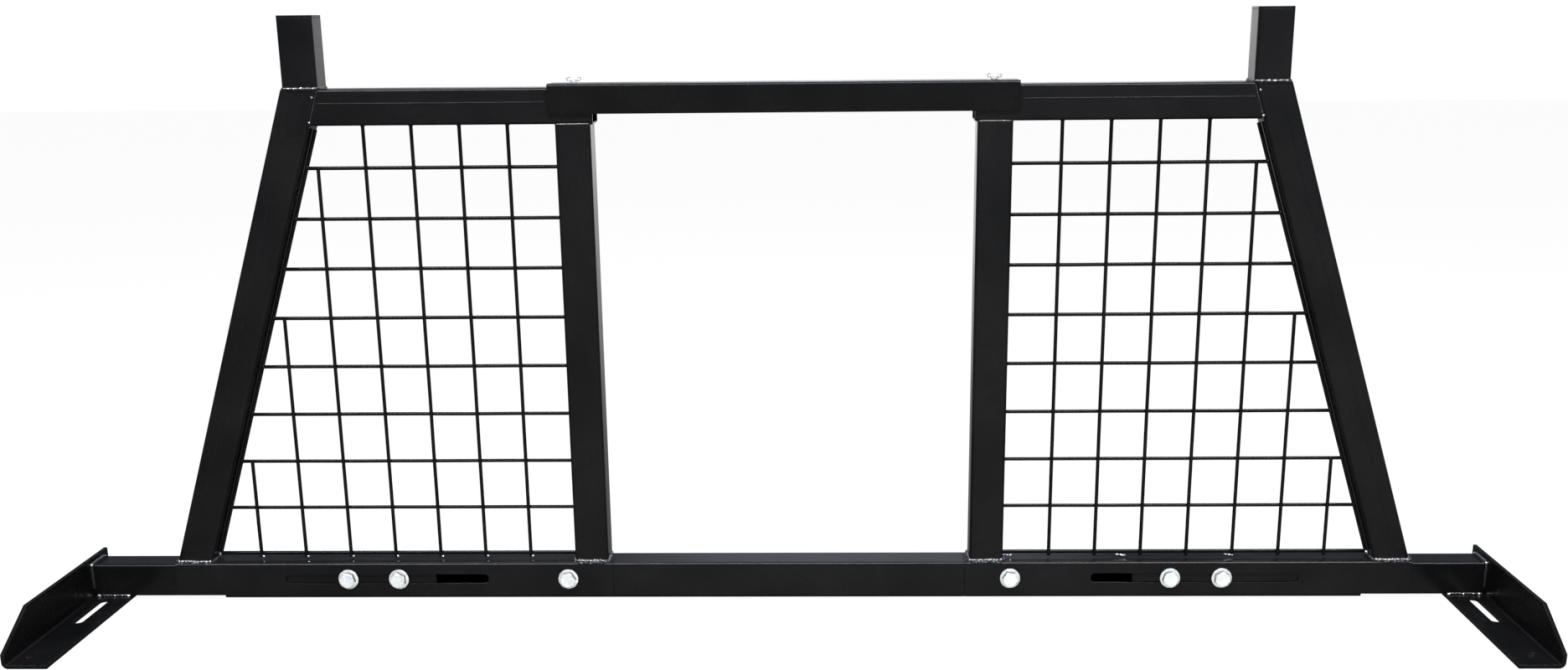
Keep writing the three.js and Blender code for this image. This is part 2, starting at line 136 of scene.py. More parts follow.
class Nodes:
    """A node tree that is written in a few short calls."""

    def __init__(self, tree):
        self.tree = tree

    def link(self, output, socket):
        self.tree.links.new(output, socket)

    def add(self, kind, inputs=None, **settings):
        node = self.tree.nodes.new(kind)
        for key, value in settings.items():
            setattr(node, key, value)
        for key, value in (inputs or {}).items():
            if isinstance(value, bpy.types.NodeSocket):
                self.link(value, node.inputs[key])
            else:
                node.inputs[key].default_value = value
        return node

    def noise(self, vector, scale, detail=3.0, roughness=0.55):
        inputs = {"Vector": vector, "Scale": scale, "Detail": detail, "Roughness": roughness}
        return self.add("ShaderNodeTexNoise", inputs).outputs["Fac"]

    def span(self, value, low, high, to_low, to_high):
        """A value moved from one range to another, and kept inside the second."""
        inputs = {0: value, 1: low, 2: high, 3: to_low, 4: to_high}
        return self.add("ShaderNodeMapRange", inputs).outputs[0]

    def math(self, operation, first, second=0.0):
        node = self.add("ShaderNodeMath", {0: first, 1: second}, operation=operation)
        return node.outputs[0]

    def mix(self, factor, first, second):
        """A blend of two colours."""
        inputs = {0: factor, 6: first, 7: second}
        return self.add("ShaderNodeMix", inputs, data_type="RGBA").outputs[2]

    def bump(self, height, distance, strength=1.0, normal=None):
        inputs = {"Height": height, "Distance": distance, "Strength": strength}
        if normal is not None:
            inputs["Normal"] = normal
        return self.add("ShaderNodeBump", inputs).outputs["Normal"]


def new_material(name):
    material = bpy.data.materials.new(name)
    material.use_nodes = True
    nodes = Nodes(material.node_tree)
    shader = material.node_tree.nodes["Principled BSDF"]
    point = nodes.add("ShaderNodeTexCoord").outputs["Object"]
    return material, nodes, shader, point


def powder_coat(name, tone=1.0, base_roughness=0.19, grain=1.0, edge_radius=0.0009, shine=0.14):
    """Semi-gloss black powder coat: orange peel, slight waviness of the steel, paler worn edges."""
    material, nodes, shader, point = new_material(name)
    patches = nodes.noise(point, 9.0, 4.0)
    peel = nodes.noise(point, 520.0, 2.0, 0.5)
    dust = nodes.noise(point, 170.0, 5.0, 0.7)
    wave = nodes.noise(point, 34.0, 2.0, 0.4)
    rounded = nodes.add("ShaderNodeBevel", {"Radius": edge_radius}, samples=4).outputs[0]
    dark = (0.0022 * tone, 0.0023 * tone, 0.0025 * tone, 1)
    pale = (0.0042 * tone, 0.0042 * tone, 0.0045 * tone, 1)
    worn = (0.022, 0.023, 0.025, 1)
    coat = nodes.mix(nodes.span(patches, 0.35, 0.65, 0, 1), dark, pale)
    coat = nodes.mix(nodes.span(dust, 0.62, 0.80, 0, 0.12), coat, worn)
    true_normal = nodes.add("ShaderNodeNewGeometry").outputs["True Normal"]
    facing = nodes.add("ShaderNodeVectorMath", {0: rounded, 1: true_normal}, operation="DOT_PRODUCT")
    edge = nodes.span(facing.outputs["Value"], 0.93, 0.70, 0, 1)
    scuff = nodes.math("MULTIPLY", edge, nodes.span(dust, 0.40, 0.65, 0.1, 0.8))
    coat = nodes.mix(scuff, coat, worn)
    shader.inputs["Base Color"].default_value = dark
    nodes.link(coat, shader.inputs["Base Color"])
    rough = nodes.math("ADD", nodes.span(patches, 0.3, 0.7, -0.03, 0.04), base_roughness)
    rough = nodes.math("ADD", rough, nodes.span(dust, 0.5, 0.85, 0, 0.05))
    nodes.link(rough, shader.inputs["Roughness"])
    shader.inputs["Specular IOR Level"].default_value = shine
    normal = nodes.bump(wave, 0.00022, 0.25, rounded)
    normal = nodes.bump(peel, 0.000030 * grain, 0.5, normal)
    nodes.link(normal, shader.inputs["Normal"])
    return material


def zinc_plate(name, base_roughness=0.24, tone=1.0):
    """Bright zinc: bare metal with a faint blue and straw tint, fine scratches and dull spots."""
    material, nodes, shader, point = new_material(name)
    cloud = nodes.noise(point, 160.0, 3.0)
    fine = nodes.noise(point, 1500.0, 4.0, 0.65)
    cool = (0.84 * tone, 0.90 * tone, 0.93 * tone, 1)
    warm = (0.94 * tone, 0.95 * tone, 0.90 * tone, 1)
    colour = nodes.mix(nodes.span(cloud, 0.35, 0.65, 0, 1), cool, warm)
    dull = (0.62 * tone, 0.64 * tone, 0.65 * tone, 1)
    colour = nodes.mix(nodes.span(fine, 0.66, 0.85, 0, 0.15), colour, dull)
    nodes.link(colour, shader.inputs["Base Color"])
    shader.inputs["Metallic"].default_value = 0.75
    rough = nodes.math("ADD", nodes.span(cloud, 0.3, 0.7, -0.03, 0.05), base_roughness)
    rough = nodes.math("ADD", rough, nodes.span(fine, 0.5, 0.8, 0, 0.10))
    nodes.link(rough, shader.inputs["Roughness"])
    rounded = nodes.add("ShaderNodeBevel", {"Radius": 0.0004}, samples=4).outputs[0]
    nodes.link(nodes.bump(fine, 0.00002, 0.4, rounded), shader.inputs["Normal"])
    return material


def welded_coat(name, glint_from=0.56):
    """Powder coat over weld metal: glossy ripples, with painted glints: noise spots of bright
    metallic colour that stand in for highlights on the ripple tops and spatter.
    """
    material, nodes, shader, point = new_material(name)
    ripple = nodes.noise(point, 430.0, 3.0, 0.6)
    grit = nodes.noise(point, 1300.0, 2.0, 0.6)
    dark = (0.004, 0.004, 0.005, 1)
    pale = (0.012, 0.012, 0.013, 1)
    metal = (0.60, 0.64, 0.68, 1)
    coat = nodes.mix(nodes.span(grit, 0.35, 0.65, 0, 1), dark, pale)
    # Painted glints: where the ripple noise is high, the colour turns bright and metallic, standing
    # in for highlights.
    bare = nodes.span(ripple, glint_from, glint_from + 0.07, 0, 1)
    colour = nodes.mix(bare, coat, metal)
    nodes.link(colour, shader.inputs["Base Color"])
    nodes.link(bare, shader.inputs["Metallic"])
    nodes.link(nodes.span(grit, 0.3, 0.7, 0.10, 0.24), shader.inputs["Roughness"])
    shader.inputs["Specular IOR Level"].default_value = 0.8
    rounded = nodes.add("ShaderNodeBevel", {"Radius": 0.0003}, samples=4).outputs[0]
    nodes.link(nodes.bump(ripple, 0.0004, 0.6, rounded), shader.inputs["Normal"])
    return material


tube_coat = powder_coat("powder_coat_tube")
# The feet and the channel get a darker copy of the tube coat: the lower tone is painted shade.
plate_coat = powder_coat(
    "powder_coat_plate", tone=0.7, base_roughness=0.25, grain=1.2, shine=0.11
)
wire_coat = powder_coat(
    "powder_coat_wire", tone=0.9, base_roughness=0.25, grain=0.6, edge_radius=0.0003
)
# Three weld coats that carry more or less painted glint: the plain one some, the dull one little, the
# bright one most.
weld_coat = welded_coat("powder_coat_weld")
weld_dull = welded_coat("powder_coat_weld_dull", 0.67)
weld_painted_glint = welded_coat("powder_coat_weld_painted_glint", 0.38)
zinc = zinc_plate("zinc_plate")
zinc_thread = zinc_plate("zinc_thread", base_roughness=0.34)
# A darker, rougher zinc for the hex heads' flat sides: painted shade for the dark reflection along
# their edges.
zinc_painted_dark_sides = zinc_plate("zinc_sides_painted_dark", base_roughness=0.42, tone=0.16)


# ---- Mesh pieces


def finish_piece(name, mesh, material, body, smooth_angle=40):
    """Gives a mesh its object, shading, material and body."""
    mesh.materials.append(material)
    for polygon in mesh.polygons:
        polygon.use_smooth = True
    mesh.set_sharp_from_angle(angle=math.radians(smooth_angle))
    piece = bpy.data.objects.new(name, mesh)
    bpy.context.scene.collection.objects.link(piece)
    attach(piece, body)
    return piece


class Builder:
    """Collects vertices and faces of one mesh."""

    def __init__(self):
        self.points = []
        self.faces = []

    def rings(self, rings, closed=False, cap_start=True, cap_end=True):
        """Skins rings that all have the same number of points."""
        count = len(rings[0])
        base = len(self.points)
        for ring in rings:
            self.points.extend(ring)
        steps = len(rings) if closed else len(rings) - 1
        for step in range(steps):
            here = base + step * count
            there = base + ((step + 1) % len(rings)) * count
            for k in range(count):
                after = (k + 1) % count
                self.faces.append((here + k, here + after, there + after, there + k))
        if not closed:
            if cap_start:
                self.faces.append(tuple(base + k for k in reversed(range(count))))
            if cap_end:
                last = base + (len(rings) - 1) * count
                self.faces.append(tuple(last + k for k in range(count)))

    def mesh(self, name):
        mesh = bpy.data.meshes.new(name)
        mesh.from_pydata([tuple(p) for p in self.points], [], self.faces)
        shape = bmesh.new()
        shape.from_mesh(mesh)
        bmesh.ops.recalc_face_normals(shape, faces=shape.faces)
        shape.to_mesh(mesh)
        shape.free()
        return mesh


def across(direction):
    """Two unit vectors at right angles to a direction and to each other."""
    axis = direction.normalized()
    helper = Z if abs(axis.z) < 0.9 else X
    first = axis.cross(helper).normalized()
    return first, axis.cross(first).normalized()


def circle(centre, first, second, radius, sides, turn=0.0):
    return [
        centre
        + first * (radius * math.cos(turn + TAU * k / sides))
        + second * (radius * math.sin(turn + TAU * k / sides))
        for k in range(sides)
    ]


def add_wire(builder, start, end, radius, sides=12, wobble=0.0, seed=0.0):
    """A straight wire with slightly rounded ends, and a hand-made waviness of a few tenths."""
    along = end - start
    length = along.length
    unit = along.normalized()
    first, second = across(unit)
    steps = max(2, int(length / 0.02))
    rings = [circle(start + unit * (0.15 * radius), first, second, 0.75 * radius, sides)]
    for step in range(steps + 1):
        share = step / steps
        place = start + along * share
        if wobble:
            fade = math.sin(math.pi * share)
            place = place + first * (wobble * fade * noise.noise((seed, share * 5, 0.3)))
            place = place + second * (0.4 * wobble * fade * noise.noise((seed, share * 5, 7.1)))
        if step == 0:
            place = start + unit * (0.35 * radius)
        if step == steps:
            place = end - unit * (0.35 * radius)
        rings.append(circle(place, first, second, radius, sides))
    rings.append(circle(end - unit * (0.15 * radius), first, second, 0.75 * radius, sides))
    builder.rings(rings)


def add_blob(builder, centre, radii, axes, seed=0.0, sides=12, rows=8, rough=0.18):
    """A lumpy ellipsoid, such as a tack weld. The radii are along the three axes."""
    rings = []
    for row in range(1, rows):
        polar = math.pi * row / rows
        ring = []
        for k in range(sides):
            turn = TAU * k / sides
            unit = Vector(
                (math.sin(polar) * math.cos(turn), math.sin(polar) * math.sin(turn), math.cos(polar))
            )
            swell = 1 + rough * noise.noise(unit * 1.7 + Vector((seed, seed * 0.37, 0)))
            ring.append(
                centre
                + axes[0] * (radii[0] * unit.x * swell)
                + axes[1] * (radii[1] * unit.y * swell)
                + axes[2] * (radii[2] * unit.z * swell)
            )
        rings.append(ring)
    builder.rings(rings)


def resample(path, closed, step):
    """The path's points again at even steps."""
    points = list(path) + ([path[0]] if closed else [])
    lengths = [0.0]
    for before, after in zip(points, points[1:]):
        lengths.append(lengths[-1] + (after - before).length)
    total = lengths[-1]
    count = max(3, int(round(total / step)))
    result = []
    index = 0
    for k in range(count if closed else count + 1):
        target = total * k / count
        while index < len(lengths) - 2 and lengths[index + 1] < target:
            index += 1
        span = lengths[index + 1] - lengths[index]
        share = (target - lengths[index]) / span if span > 0 else 0
        result.append(points[index].lerp(points[index + 1], share))
    return result, total


def add_bead(
    builder, path, radius, closed=True, pitch=0.0026, seed=0.0, sides=12, uneven=0.16, ripple=0.16
):
    """A weld bead along a path: overlapping ripples, with a width and line that wander a little."""
    points, total = resample(path, closed, BEAD_STEP)
    count = len(points)
    ripples = max(1, round(total / pitch))
    rings = []
    for k, point in enumerate(points):
        if closed:
            direction = points[(k + 1) % count] - points[k - 1]
        else:
            direction = points[min(k + 1, count - 1)] - points[max(k - 1, 0)]
        direction.normalize()
        first, second = across(direction)
        share = k / count
        phase = (share * ripples) % 1.0
        turn = TAU * share
        where = (
            Vector((math.cos(turn) * total * 60 / TAU, math.sin(turn) * total * 60 / TAU, seed))
            if closed
            else Vector((share * total * 60, 0.0, seed))
        )
        wander = noise.noise(where)
        crest = math.sqrt(phase * (1 - phase) * 4)
        size = radius * (1.04 - ripple + ripple * crest + uneven * wander)
        if not closed:
            ends = min(k, count - 1 - k) * BEAD_STEP / radius
            size *= math.sqrt(min(1.0, 0.15 + ends * 0.6))
        shift = 0.12 * radius * noise.noise(where * 1.3 + Vector((9.0, 3.0, 1.0)))
        middle = point + second * shift + first * (0.6 * shift)
        rings.append(circle(middle, first, second, size, sides))
    builder.rings(rings, closed=closed)


def rounded_loop(centre, first, second, half_first, half_second, radius, steps=5):
    """A rounded rectangle in the plane of two vectors."""
    loop = []
    for corner, (sign_first, sign_second) in enumerate(((1, 1), (-1, 1), (-1, -1), (1, -1))):
        for step in range(steps + 1):
            turn = math.pi / 2 * (corner + step / steps)
            along_first = sign_first * (half_first - radius) + radius * math.cos(turn)
            along_second = sign_second * (half_second - radius) + radius * math.sin(turn)
            loop.append(centre + first * along_first + second * along_second)
    return loop


# ---- CAD nodes that stay: soften their cut edges and give them their material


def soften(node, width=0.0005, segments=2, angle=42):
    """Rounds a CAD node's sharp edges with modifiers, which leave its own mesh alone."""
    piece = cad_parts[node]
    mesh = piece.data
    custom = mesh.attributes.get("custom_normal")
    if custom is not None:
        mesh.attributes.remove(custom)
    for polygon in mesh.polygons:
        polygon.use_smooth = True
    weld = piece.modifiers.new("weld", "WELD")
    weld.merge_threshold = 0.00002
    planar = piece.modifiers.new("planar", "DECIMATE")
    planar.decimate_type = "DISSOLVE"
    planar.angle_limit = math.radians(1.0)
    edge = piece.modifiers.new("edge", "BEVEL")
    edge.width = width
    edge.segments = segments
    edge.limit_method = "ANGLE"
    edge.angle_limit = math.radians(angle)
    edge.miter_outer = "MITER_ARC"
    edge.use_clamp_overlap = True
    edge.harden_normals = False
    shade = piece.modifiers.new("shade", "WEIGHTED_NORMAL")
    shade.keep_sharp = False
    shade.weight = 80
    return piece


def paint(node, material):
    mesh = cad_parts[node].data
    mesh.materials.clear()
    mesh.materials.append(material)


plates = {"left_foot", "right_foot", "top_channel"}
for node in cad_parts:
    if node.endswith(("bolt", "washer", "nut", "screw", "mesh_panel")):
        continue
    soften(node, PLATE_EDGE if node in plates else TUBE_EDGE)
    paint(node, plate_coat if node in plates else tube_coat)


# ---- Leaning post


def lean_of(node):
    """The angle of a leaning tube from the upright, from its box alone."""
    low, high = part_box(node)
    width, height = high.x - low.x, high.z - low.z
    return math.acos(TUBE / math.hypot(width, height)) - math.atan2(height, width)


LEAN = lean_of("right_outer_post")
rail_top_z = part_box("right_outer_post")[0].z
post_foot_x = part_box("right_outer_post")[1].x
top_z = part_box("right_top_rail")[1].z
under_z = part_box("right_top_rail")[0].z


def outer_face(z):
    return post_foot_x - (z - rail_top_z) * math.tan(LEAN)


def inner_face(z):
    return outer_face(z) - TUBE / math.cos(LEAN)


# ---- Wire mesh


def column_top(x):
    """Where an upright wire ends: under the top rail, or at a row below the leaning post."""
    post_z = rail_top_z + (inner_face(rail_top_z) - x) / math.tan(LEAN)
    if post_z > under_z + CUT_MARGIN:
        return under_z
    row = min(ROWS, math.floor((post_z - CUT_MARGIN - BOTTOM_ROD_Z) / ROW_PITCH))
    return BOTTOM_ROD_Z + row * ROW_PITCH + ROD_RADIUS


def mesh_panel(side, sign):
    """One welded wire panel with its rods, the lumps where wires cross, and its tack welds."""
    builder = Builder()
    tacks, glint_specks = Builder(), Builder()
    back, front = rack_y + WIRE_DEPTH, rack_y - WIRE_DEPTH
    post_low, post_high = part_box(f"{side}_inner_post")
    post_x = max(abs(post_low.x), abs(post_high.x))
    rod_gap = (ROD_RADIUS + 0.0003) / math.cos(LEAN)

    def at(x, y, z):
        return Vector((sign * x, y, z))

    def rod_x(z):
        return inner_face(z) - rod_gap

    rod_top = under_z - 2 * ROD_RADIUS
    rod_corner = at(rod_x(BOTTOM_ROD_Z), back, BOTTOM_ROD_Z)
    add_wire(builder, at(post_x, back, BOTTOM_ROD_Z), rod_corner, ROD_RADIUS)
    add_wire(builder, rod_corner, at(rod_x(rod_top), back, rod_top), ROD_RADIUS)
    rows = [BOTTOM_ROD_Z + row * ROW_PITCH for row in range(1, ROWS + 1)]
    for row, z in enumerate(rows):
        seed = 3.1 * row + 40 * sign
        post_end, rod_end = at(post_x, back, z), at(rod_x(z), back, z)
        add_wire(builder, post_end, rod_end, WIRE_RADIUS, wobble=0.0009, seed=seed)
        post_tack = at(post_x + 0.001, back - 0.0006, z)
        add_blob(tacks, post_tack, (0.0026, 0.0024, 0.0026), (X, Y, Z), seed)
        rod_tack = at(rod_x(z) - 0.0005, back - 0.0012, z)
        add_blob(tacks, rod_tack, (0.0028, 0.0022, 0.0032), (X, Y, Z), seed + 5)
    for column in range(COLUMNS):
        x = FIRST_COLUMN_X + column * COLUMN_PITCH
        top = column_top(x)
        seed = 7.7 * column + 90 * sign
        foot = BOTTOM_ROD_Z - ROD_RADIUS - WIRE_FOOT
        foot_end, top_end = at(x, front, foot), at(x, front, top)
        add_wire(builder, foot_end, top_end, WIRE_RADIUS, wobble=0.0008, seed=seed)
        # Tacks at the left panel's wire feet, in the glint-painted weld coat: painted highlights to
        # the right of each wire.
        if side == "left":
            tack = 0.0023 + 0.0006 * noise.noise((seed, 2.0, 5.0))
            place = at(x, front - 0.0012, foot + 0.0008) + X * 0.0028
            add_blob(glint_specks, place, (tack, 0.0018, tack), (X, Y, Z), seed + 2, 10, 6, 0.5)
        for z in [BOTTOM_ROD_Z] + [z for z in rows if z < top]:
            lump = 0.0021 + 0.0003 * noise.noise((seed, z * 30, 0))
            crossing = at(x, rack_y, z)
            add_blob(tacks, crossing, (lump, 0.0019, lump), (X, Y, Z), seed + z * 9, 10, 6)
        if top >= under_z - 1e-6:
            top_tack = at(x, front, top - 0.0010)
            add_blob(tacks, top_tack, (0.0030, 0.0026, 0.0020), (X, Y, Z), seed)
    name = f"{side}_mesh_wires"
    panel = finish_piece(name, builder.mesh(name), wire_coat, f"{side}_frame", 50)
    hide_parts(f"{side}_mesh_panel")
    if side == "right":
        stitches = [(post_x + POST_STITCH[0], POST_STITCH[1])]
        stitches += [(FIRST_COLUMN_X + columns * COLUMN_PITCH, half) for columns, half in STITCHES]
        for x, length in stitches:
            for shift in (-0.7, 0.1, 0.8):
                z = BOTTOM_ROD_Z - ROD_RADIUS - 0.001 - 0.0006 * shift
                place = at(x + shift * length, rack_y - 0.003, z)
                seed = x * 50 + shift
                add_blob(glint_specks, place, (0.0026, 0.0017, 0.0014), (X, Y, Z), seed, 10, 6, 0.6)
    corner_tack = at(rod_x(BOTTOM_ROD_Z) + 0.0005, front - 0.001, BOTTOM_ROD_Z - 0.001)
    add_blob(glint_specks, corner_tack, (0.0034, 0.0024, 0.0030), (X, Y, Z), 11.0 + sign, 12, 8, 0.4)
    # The tacks at the feet, the stitches and the corner tack take the glint-painted weld coat:
    # painted highlights.
    for builder, material, label in (
        (tacks, wire_coat, "tacks"), (glint_specks, weld_painted_glint, "painted_glint_tacks")
    ):
        name = f"{side}_mesh_{label}"
        finish_piece(name, builder.mesh(name), material, f"{side}_frame", 80)


# ---- Weld beads


def frame_welds(side, sign):
    """Beads between the tubes of one side frame."""
    post_low, post_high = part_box(f"{side}_inner_post")
    stub_low, stub_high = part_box(f"{side}_stub_post")
    inner_x = (post_low.x + post_high.x) / 2
    stub_x = (stub_low.x + stub_high.x) / 2
    half = TUBE / 2
    lean_middle = sign * (outer_face(rail_top_z) + inner_face(rail_top_z)) / 2
    lean_half = half / math.cos(LEAN)
    feet, quiet, glint_blobs = Builder(), Builder(), Builder()
    inset = half - BEAD_SINK

    def loop_at(x, z, half_x, half_y):
        return rounded_loop(Vector((x, rack_y, z)), X, Y, half_x, half_y, TUBE_RADIUS)

    foot = loop_at(inner_x, rail_top_z + BEAD_SINK, inset, inset)
    add_bead(feet, foot, INNER_POST_BEAD, seed=1.0 + sign, uneven=0.45, ripple=0.35, pitch=0.0042)
    lean_foot = loop_at(lean_middle, rail_top_z + BEAD_SINK, lean_half - BEAD_SINK, inset)
    add_bead(
        feet, lean_foot, LEANING_POST_BEAD, seed=2.0 + sign, uneven=0.4, ripple=0.3, pitch=0.0042
    )
    stub = loop_at(stub_x, top_z + 0.0006, half - 0.0004, half - 0.0004)
    add_bead(quiet, stub, STUB_BEAD, seed=4.0 + sign, pitch=0.0078, uneven=0.3, ripple=0.5)
    head = loop_at(inner_x, under_z - 0.0002, inset, inset)
    add_bead(quiet, head, POST_HEAD_BEAD, seed=3.0 + sign)

    def butt_place(z, inwards, y):
        return Vector((sign * (inner_face(z) - inwards), rack_y + y, z))

    near, lower = half - 0.0012, half - 0.003
    butt = [
        butt_place(top_z - 0.002, 0.0002, -near), butt_place(under_z + 0.001, 0.0002, -near),
        butt_place(under_z, 0.0016, -lower), butt_place(under_z, 0.0016, lower),
        butt_place(under_z + 0.001, 0.0002, near), butt_place(top_z - 0.002, 0.0002, near),
    ]
    add_bead(quiet, butt, BUTT_BEAD, closed=False, seed=5.0 + sign)
    # Painted highlights: blobs in the glint-painted weld coat on the stub's bead and beside the butt
    # seam.
    for share, size in STUB_GLINT_BLOBS:
        place = Vector((stub_x + share * half, rack_y - half - 0.0014, top_z + 0.0013))
        add_blob(glint_blobs, place, (size, 0.0016, 0.0011), (X, Y, Z), share * 9 + sign, 12, 8, 0.4)
    upper_dot = butt_place(top_z - 0.010, -0.004, -half - 0.0004)
    lower_dot = butt_place(under_z + 0.004, 0.0, -half)
    for place in (upper_dot, lower_dot):
        seed = 6.0 + place.z * 40
        add_blob(glint_blobs, place, (0.0017, 0.0009, 0.0015), (X, Y, Z), seed, 10, 6, 0.4)
    for builder, material, label in (
        (feet, weld_coat, "foot"), (quiet, weld_dull, "head"), (glint_blobs, weld_painted_glint, "stub")
    ):
        name = f"{side}_{label}_welds"
        finish_piece(name, builder.mesh(name), material, f"{side}_frame", 80)


def arm_welds(side, sign):
    """Beads between an arm and its foot."""
    low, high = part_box(f"{side}_arm_tube")
    foot_low, foot_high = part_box(f"{side}_foot")
    end_x = high.x if sign > 0 else low.x
    inner_edge = foot_low.x if sign > 0 else foot_high.x
    half = TUBE / 2
    round_end, glint_dots = Builder(), Builder()
    x = end_x - sign * 0.0004
    start_z = low.z + 0.009
    corner = TUBE_RADIUS
    path = [Vector((x, rack_y - half, start_z)), Vector((x, rack_y - half, high.z - corner))]
    for step in range(1, 6):
        turn = math.pi / 2 * step / 6
        out = Vector((0, -math.cos(turn), math.sin(turn))) * corner
        path.append(Vector((x, rack_y - half + corner, high.z - corner)) + out)
    path += [
        Vector((x, rack_y - half + corner, high.z)), Vector((x, rack_y + half - corner, high.z))
    ]
    for step in range(1, 6):
        turn = math.pi / 2 * step / 6
        out = Vector((0, math.sin(turn), math.cos(turn))) * corner
        path.append(Vector((x, rack_y + half - corner, high.z - corner)) + out)
    path += [Vector((x, rack_y + half, high.z - corner)), Vector((x, rack_y + half, start_z))]
    add_bead(round_end, path, ARM_END_BEAD, closed=False, seed=6.0 + sign)
    outer_x, edge_x = end_x - sign * 0.005, inner_edge + sign * 0.003
    for face, seed in ((-1, 7.0), (1, 8.0)):
        y = rack_y + face * (half - 0.0006)
        line = [Vector((outer_x, y, low.z + 0.0008)), Vector((edge_x, y, low.z + 0.0008))]
        add_bead(
            round_end, line, ARM_SIDE_BEAD, closed=False, seed=seed + sign, ripple=0.3, pitch=0.005
        )
        # Painted highlights: blobs in the glint-painted weld coat along each side bead and at the top
        # corners.
        for share, size in ARM_GLINT_BLOBS:
            place = line[0].lerp(line[1], share) + Vector((0, face * 0.0006, 0))
            add_blob(glint_dots, place, (size, 0.7 * size, 0.55 * size), (X, Y, Z), seed + share * 7)
        top_corner = Vector((end_x - sign * 0.0008, y, high.z - 0.0012))
        add_blob(glint_dots, top_corner, (0.0024, 0.0024, 0.0024), (X, Y, Z), seed + 3)
    for builder, material, label in (
        (round_end, weld_dull, "welds"), (glint_dots, weld_painted_glint, "painted_glint_welds")
    ):
        name = f"{side}_arm_{label}"
        finish_piece(name, builder.mesh(name), material, f"{side}_arm", 80)


def foot_marks(side, sign):
    """Small punch marks near the front of a foot: a raised rim around a shallow centre."""
    low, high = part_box(f"{side}_foot")
    inner_edge = low.x if sign > 0 else high.x
    plate_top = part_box(f"{side}_arm_tube")[0].z
    builder = Builder()
    for inset, back in FOOT_MARKS[side]:
        centre = Vector((inner_edge + sign * inset, low.y + back, plate_top))
        rings = [circle(centre + Z * rise, X, Y, radius, 24) for radius, rise in MARK_SECTION]
        builder.rings(rings)
    name = f"{side}_foot_marks"
    finish_piece(name, builder.mesh(name), plate_coat, f"{side}_arm", 50)


def seam_lines(side, sign):
    """The faint flattened weld seam that drawn tube keeps along one face."""
    builder = Builder()

    def strip(start, end, normal, width=0.0022, height=0.00016):
        along = (end - start).normalized()
        across_strip = along.cross(normal).normalized()
        rings = []
        steps = 40
        for step in range(steps + 1):
            place = start.lerp(end, step / steps)
            grow = 1 + 0.25 * noise.noise((step * 0.7, sign * 5.0, start.x))
            ring = []
            for k in range(8):
                turn = TAU * k / 8
                ring.append(
                    place
                    + across_strip * (width / 2 * grow * math.cos(turn))
                    + normal * (height * math.sin(turn))
                )
            rings.append(ring)
        builder.rings(rings)

    front = rack_y - TUBE / 2
    low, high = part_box(f"{side}_top_rail")
    inner_x = min(abs(low.x), abs(high.x))
    z = top_z - 0.4 * TUBE
    rail_start = Vector((sign * (inner_x + 0.06), front, z))
    rail_end = Vector((sign * (inner_face(z) - 0.004), front, z))
    strip(rail_start, rail_end, -Y)

    def on_post(z):
        x = inner_face(z) + POST_SEAM_SHARE * (outer_face(z) - inner_face(z))
        return Vector((sign * x, front, z))

    strip(on_post(rail_top_z + 0.008), on_post(top_z - 0.012), -Y)
    name = f"{side}_tube_seams"
    finish_piece(name, builder.mesh(name), tube_coat, f"{side}_frame", 60)


# ---- Fasteners. Each is drawn along +Z from its seat and then laid along Y


def hex_radius(turn):
    """How far the bolt head's outline is from its axis at an angle."""
    wrapped = (turn + math.pi / 6) % (math.pi / 3) - math.pi / 6
    return HEX_FLATS / 2 / math.cos(wrapped)


def hex_prism(builder, bottom, top, face_radius, dish=0.0, sides=96, bore=0.0):
    """A hexagon whose corners are turned off by a cone at its top face."""
    slope = math.tan(math.radians(30))

    def ring(radius_of, height_of):
        return [
            Vector((radius_of(t) * math.cos(t), radius_of(t) * math.sin(t), height_of(t)))
            for t in (TAU * k / sides for k in range(sides))
        ]

    def drop(t):
        return max(0.0, hex_radius(t) - face_radius) * slope

    rings = [
        ring(lambda t: bore or face_radius * 0.5, lambda t: bottom),
        ring(hex_radius, lambda t: bottom),
        ring(hex_radius, lambda t: top - drop(t)),
        ring(lambda t: face_radius, lambda t: top),
    ]
    if bore:
        rings.append(ring(lambda t: bore * 1.06, lambda t: top))
        rings.append(ring(lambda t: bore, lambda t: top - 0.06 * bore))
        builder.rings(rings, closed=True)
        return
    if dish:
        rings.append(ring(lambda t: face_radius * 0.86, lambda t: top))
        rings.append(ring(lambda t: face_radius * 0.78, lambda t: top - dish))
    rings.append(ring(lambda t: face_radius * 0.25, lambda t: top - dish))
    builder.rings(rings)


def thread(builder, bottom, top, radius, pitch=THREAD_PITCH, sides=32, rows_per_turn=6):
    """A helical thread with its tip turned down."""
    rows = int((top - bottom) / pitch * rows_per_turn)
    depth = 0.58 * pitch
    rings = []
    for row in range(rows + 1):
        z = bottom + (top - bottom) * row / rows
        ring = []
        for k in range(sides):
            turn = TAU * k / sides
            phase = (z / pitch - k / sides) % 1.0
            size = radius - depth * abs(2 * phase - 1)
            tip_limit = radius - max(0.0, z - (top - 0.0012))
            size = min(size, tip_limit)
            ring.append(Vector((size * math.cos(turn), size * math.sin(turn), z)))
        rings.append(ring)
    builder.rings(rings)


def turned(builder, profile, sides=64, closed=False):
    """A surface of revolution about Z of (radius, height) pairs."""
    turns = [TAU * k / sides for k in range(sides)]
    rings = [[Vector((r * math.cos(t), r * math.sin(t), z)) for t in turns] for r, z in profile]
    builder.rings(rings, closed=closed)


def lay_along_y(builder, centre_x, seat_y, centre_z, towards, turn):
    """Turns +Z into `towards` along Y and places the seat."""
    for index, point in enumerate(builder.points):
        x = point.x * math.cos(turn) - point.y * math.sin(turn)
        z = point.x * math.sin(turn) + point.y * math.cos(turn)
        builder.points[index] = Vector((centre_x + x, seat_y + towards * point.z, centre_z + z))


